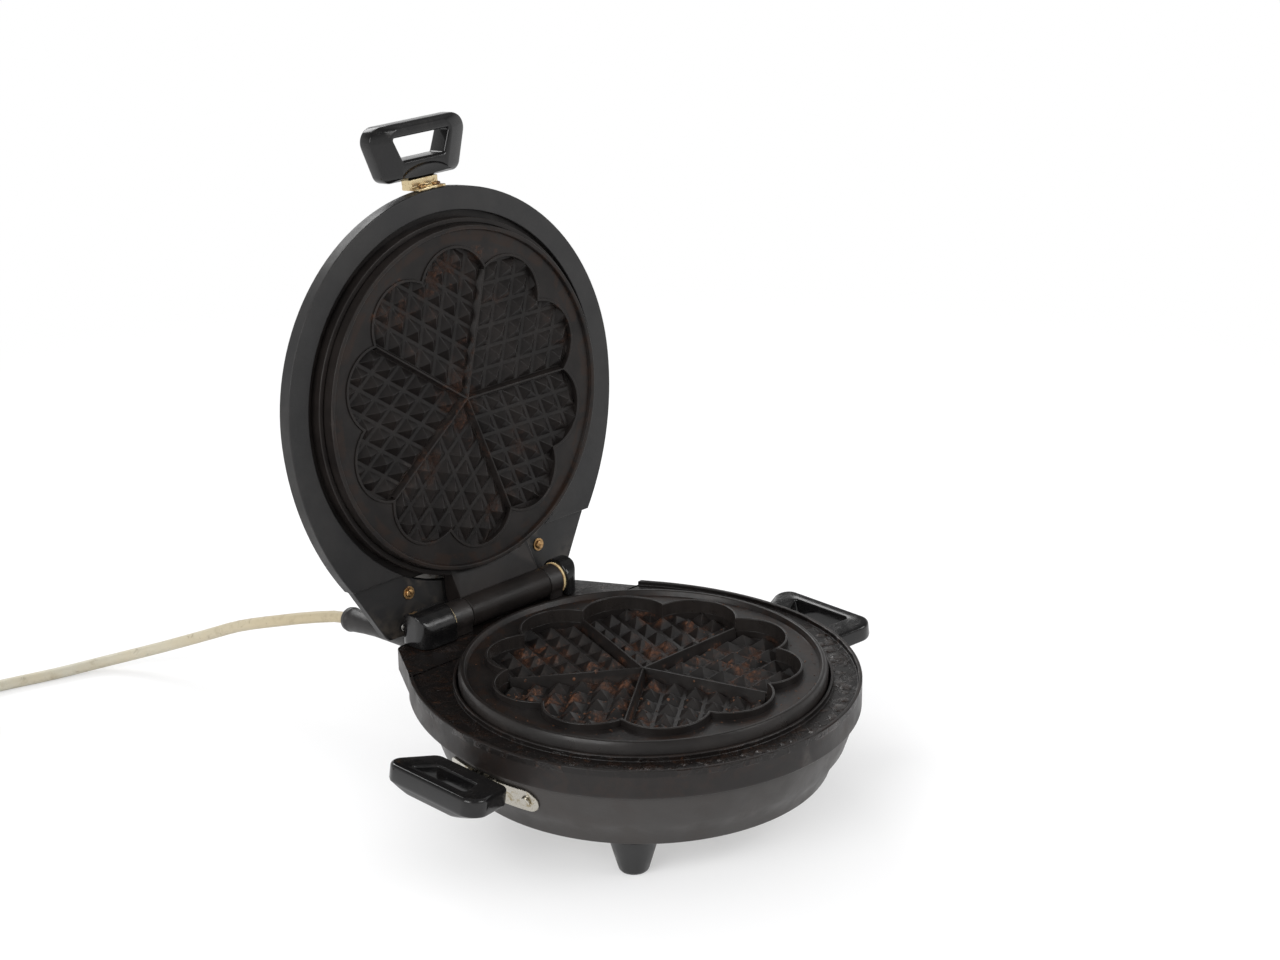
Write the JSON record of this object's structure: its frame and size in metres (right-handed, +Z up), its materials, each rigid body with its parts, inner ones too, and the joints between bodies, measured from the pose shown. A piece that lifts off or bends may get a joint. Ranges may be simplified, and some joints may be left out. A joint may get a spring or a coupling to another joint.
{
  "type": "electric waffle iron",
  "caption": "Round electric waffle iron with heart-shaped wells, its lid open on a rear hinge, conical feet, loop handles and a mains cord",
  "frame": {"origin": "on the floor under the middle of the iron with its lid open, the cord left out", "axes": "+Z up, +Y from the front to the hinge, +X to the right seen from the front"},
  "size_m": [0.4154, 0.4228, 0.2868],
  "materials": {
    "casing": "satin, dark, stained by baking",
    "plate": "satin, burnt nearly black",
    "lid": "matte charcoal coating",
    "steel": "plain",
    "ceramic": "glazed ceramic",
    "bakelite": "glossy black bakelite",
    "ring": "tarnished",
    "nickel": "nickel plate with yellow tarnish",
    "brass": "aged",
    "rubber": "matte",
    "cord": "dirty off-white sheath"
  },
  "bodies": {
    "base": {"base_bowl": "casing", "lower_plate": "plate", "lower_plate_screws": "steel", "lower_element": "steel", "lower_reflector": "steel", "terminal_block": "ceramic", "bottom_cover": "steel", "cover_screws": "steel", "foot_front_left": "bakelite", "foot_front_right": "bakelite", "foot_rear_left": "bakelite", "foot_rear_right": "bakelite", "foot_screws": "steel", "knuckle_left": "casing", "knuckle_right": "casing", "hinge_pin": "steel", "hinge_ring_left": "ring", "hinge_ring_right": "ring", "hinge_cap_left": "bakelite", "hinge_cap_right": "bakelite", "cap_screws": "steel", "side_handle_left": "bakelite", "side_handle_right": "bakelite", "handle_strap_left": "nickel", "handle_strap_right": "nickel", "strap_rivets_left": "nickel", "strap_rivets_right": "nickel", "strain_relief": "rubber", "cord_stretch": "cord", "cord_coil": "cord", "plug_body": "bakelite", "plug_pins": "brass"},
    "lid": {"lid_shell": "lid", "upper_plate": "plate", "upper_plate_screws": "steel", "upper_element": "steel", "upper_reflector": "steel", "ear_screws": "brass", "ear_washers": "brass", "lid_handle": "bakelite", "lid_handle_bracket": "nickel", "lid_handle_screws": "brass"}
  },
  "joints": [
    {"name": "lid_hinge", "type": "hinge", "parent": "base", "child": "lid", "pos_m": [0, 0.07265, 0.0636], "axis": [1, 0, 0], "range_deg": [0, 96.5]}
  ]
}
